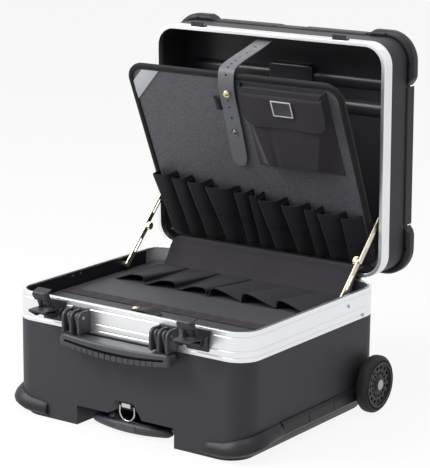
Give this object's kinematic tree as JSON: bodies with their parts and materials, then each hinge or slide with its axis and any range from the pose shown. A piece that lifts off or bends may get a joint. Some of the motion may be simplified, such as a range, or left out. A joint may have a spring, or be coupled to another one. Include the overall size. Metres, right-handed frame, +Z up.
{
  "type": "rolling tool case",
  "caption": "Open wheeled tool case: moulded base and hinged lid with aluminium rims, folding stays, toggle latches, carry handle, pull-out grip and tool pallets with sewn pockets.",
  "frame": {"origin": "middle of the flat underside, on the floor", "axes": "+X to the case's right seen from its latch side, +Y to the hinge at the back, +Z up"},
  "size_m": [0.5522, 0.5558, 0.6405],
  "materials": {
    "shell": "moulded charcoal plastic, fine pebble",
    "rim": "brushed, finely ridged",
    "trim": "black plastic bumpers and handles",
    "liner": "formed black sheet",
    "tyre": "black rubber",
    "hub": "black plastic",
    "steel": "zinc plated",
    "chrome": "bright plated",
    "board": "grained dark grey board",
    "cloth": "black nylon",
    "strap": "grey-blue webbing",
    "patch": "light grey patch, bare",
    "button": "grey plastic"
  },
  "bodies": {
    "base": {"base_shell": "shell", "trolley_cover": "shell", "base_rim": "rim", "corner_bumpers": "trim", "side_strips": "trim", "axles": "steel", "axle_blocks": "trim", "trolley_outer_tubes": "steel", "tube_clamps": "trim", "ring_clip": "steel", "handle_brackets": "trim", "handle_pins": "steel", "latch_plate_right": "trim", "latch_plate_left": "trim", "hinge_leaf_base": "steel", "hinge_pin": "steel", "stay_posts_base": "steel", "side_plates": "trim", "base_panel": "board", "panel_band": "cloth", "panel_tab": "cloth", "base_pockets": "cloth", "hinge_gusset": "cloth", "rim_rivets": "steel"},
    "lid": {"lid_rim": "rim", "lid_shell": "shell", "lid_liner": "liner", "lid_bumpers": "trim", "lid_strips": "trim", "lid_catches": "trim", "hinge_leaf_lid": "steel", "stay_posts_lid": "steel", "pallet_pivots": "steel"},
    "pallet": {"pallet_board": "board", "pallet_binding": "cloth", "pallet_pockets": "cloth", "flap_pocket": "cloth", "pocket_flap": "cloth", "corner_patch": "patch", "pallet_strap": "strap"},
    "carry_handle": {"carry_handle": "trim"},
    "pull_ring": {"d_ring": "chrome"},
    "trolley_stage": {"trolley_middle_tubes": "steel"},
    "trolley": {"trolley_inner_tubes": "steel", "trolley_grip": "trim"},
    "release_button": {"trolley_button": "button"},
    "stay_lower_right": {"stay_lower_right": "steel"},
    "stay_upper_right": {"stay_upper_right": "steel"},
    "stay_knob_right": {"stay_knob_right": "steel"},
    "latch_lever_right": {"latch_lever_right": "trim"},
    "latch_hook_right": {"latch_hook_right": "trim"},
    "wheel_right": {"tyre_right": "tyre", "hub_right": "hub"},
    "stay_lower_left": {"stay_lower_left": "steel"},
    "stay_upper_left": {"stay_upper_left": "steel"},
    "stay_knob_left": {"stay_knob_left": "steel"},
    "latch_lever_left": {"latch_lever_left": "trim"},
    "latch_hook_left": {"latch_hook_left": "trim"},
    "wheel_left": {"tyre_left": "tyre", "hub_left": "hub"}
  },
  "joints": [
    {"name": "lid_hinge", "type": "hinge", "parent": "base", "child": "lid", "pos_m": [0, 0.2075, 0.21525], "axis": [1, 0, 0], "range_deg": [0, 88.5], "deforming": ["hinge_gusset"]},
    {"name": "pallet_tilt", "type": "hinge", "parent": "lid", "child": "pallet", "pos_m": [0, 0.23309, 0.24093], "axis": [1, 0, 0], "range_deg": [-22.5, 0], "deforming": ["pallet_strap"]},
    {"name": "carry_handle_swing", "type": "hinge", "parent": "base", "child": "carry_handle", "pos_m": [0, -0.2235, 0.195], "axis": [1, 0, 0], "range_deg": [-90, 0]},
    {"name": "pull_ring_swing", "type": "hinge", "parent": "base", "child": "pull_ring", "pos_m": [0, -0.1975, 0.052], "axis": [1, 0, 0], "range_deg": [-90, 0]},
    {"name": "trolley_stage_slide", "type": "slide", "parent": "base", "child": "trolley_stage", "axis": [0, -1, 0], "range_m": [0, 0.285]},
    {"name": "trolley_slide", "type": "slide", "parent": "trolley_stage", "child": "trolley", "axis": [0, -1, 0], "range_m": [0, 0.285]},
    {"name": "release_button_press", "type": "slide", "parent": "trolley", "child": "release_button", "axis": [0, 1, 0], "range_m": [0, 0.003], "stiffness_N_per_m": 300},
    {"name": "stay_lower_right_turn", "type": "hinge", "parent": "base", "child": "stay_lower_right", "pos_m": [0.226, 0.095, 0.2], "axis": [1, 0, 0], "range_deg": [-47.12, 0]},
    {"name": "stay_upper_right_turn", "type": "hinge", "parent": "lid", "child": "stay_upper_right", "pos_m": [0.226, 0.2155, 0.32325], "axis": [1, 0, 0], "range_deg": [0, 26.69]},
    {"name": "stay_knob_right_turn", "type": "hinge", "parent": "stay_lower_right", "child": "stay_knob_right", "pos_m": [0.2205, 0.15525, 0.26162], "axis": [1, 0, 0], "continuous": true},
    {"name": "latch_lever_right_turn", "type": "hinge", "parent": "base", "child": "latch_lever_right", "pos_m": [0.148, -0.2145, 0.19], "axis": [1, 0, 0], "range_deg": [0, 90]},
    {"name": "latch_hook_right_turn", "type": "hinge", "parent": "latch_lever_right", "child": "latch_hook_right", "pos_m": [0.148, -0.2215, 0.195], "axis": [1, 0, 0], "range_deg": [-115, 0]},
    {"name": "wheel_right_spin", "type": "hinge", "parent": "base", "child": "wheel_right", "pos_m": [0.262, 0.157, 0.05], "axis": [1, 0, 0], "continuous": true},
    {"name": "stay_lower_left_turn", "type": "hinge", "parent": "base", "child": "stay_lower_left", "pos_m": [-0.226, 0.095, 0.2], "axis": [1, 0, 0], "range_deg": [-47.12, 0]},
    {"name": "stay_upper_left_turn", "type": "hinge", "parent": "lid", "child": "stay_upper_left", "pos_m": [-0.226, 0.2155, 0.32325], "axis": [1, 0, 0], "range_deg": [0, 26.69]},
    {"name": "stay_knob_left_turn", "type": "hinge", "parent": "stay_lower_left", "child": "stay_knob_left", "pos_m": [-0.2205, 0.15525, 0.26162], "axis": [1, 0, 0], "continuous": true},
    {"name": "latch_lever_left_turn", "type": "hinge", "parent": "base", "child": "latch_lever_left", "pos_m": [-0.148, -0.2145, 0.19], "axis": [1, 0, 0], "range_deg": [0, 90]},
    {"name": "latch_hook_left_turn", "type": "hinge", "parent": "latch_lever_left", "child": "latch_hook_left", "pos_m": [-0.148, -0.2215, 0.195], "axis": [1, 0, 0], "range_deg": [-115, 0]},
    {"name": "wheel_left_spin", "type": "hinge", "parent": "base", "child": "wheel_left", "pos_m": [-0.262, 0.157, 0.05], "axis": [1, 0, 0], "continuous": true}
  ],
  "couplings": [
    {"joint": "pallet_tilt", "follows": "lid_hinge", "ratio": -0.25424},
    {"joint": "stay_lower_right_turn", "follows": "lid_hinge", "ratio": -0.53241},
    {"joint": "stay_upper_right_turn", "follows": "lid_hinge", "ratio": 0.30161},
    {"joint": "latch_hook_right_turn", "follows": "latch_lever_right_turn", "ratio": -1.2778},
    {"joint": "stay_lower_left_turn", "follows": "lid_hinge", "ratio": -0.53241},
    {"joint": "stay_upper_left_turn", "follows": "lid_hinge", "ratio": 0.30161},
    {"joint": "latch_hook_left_turn", "follows": "latch_lever_left_turn", "ratio": -1.2778}
  ]
}
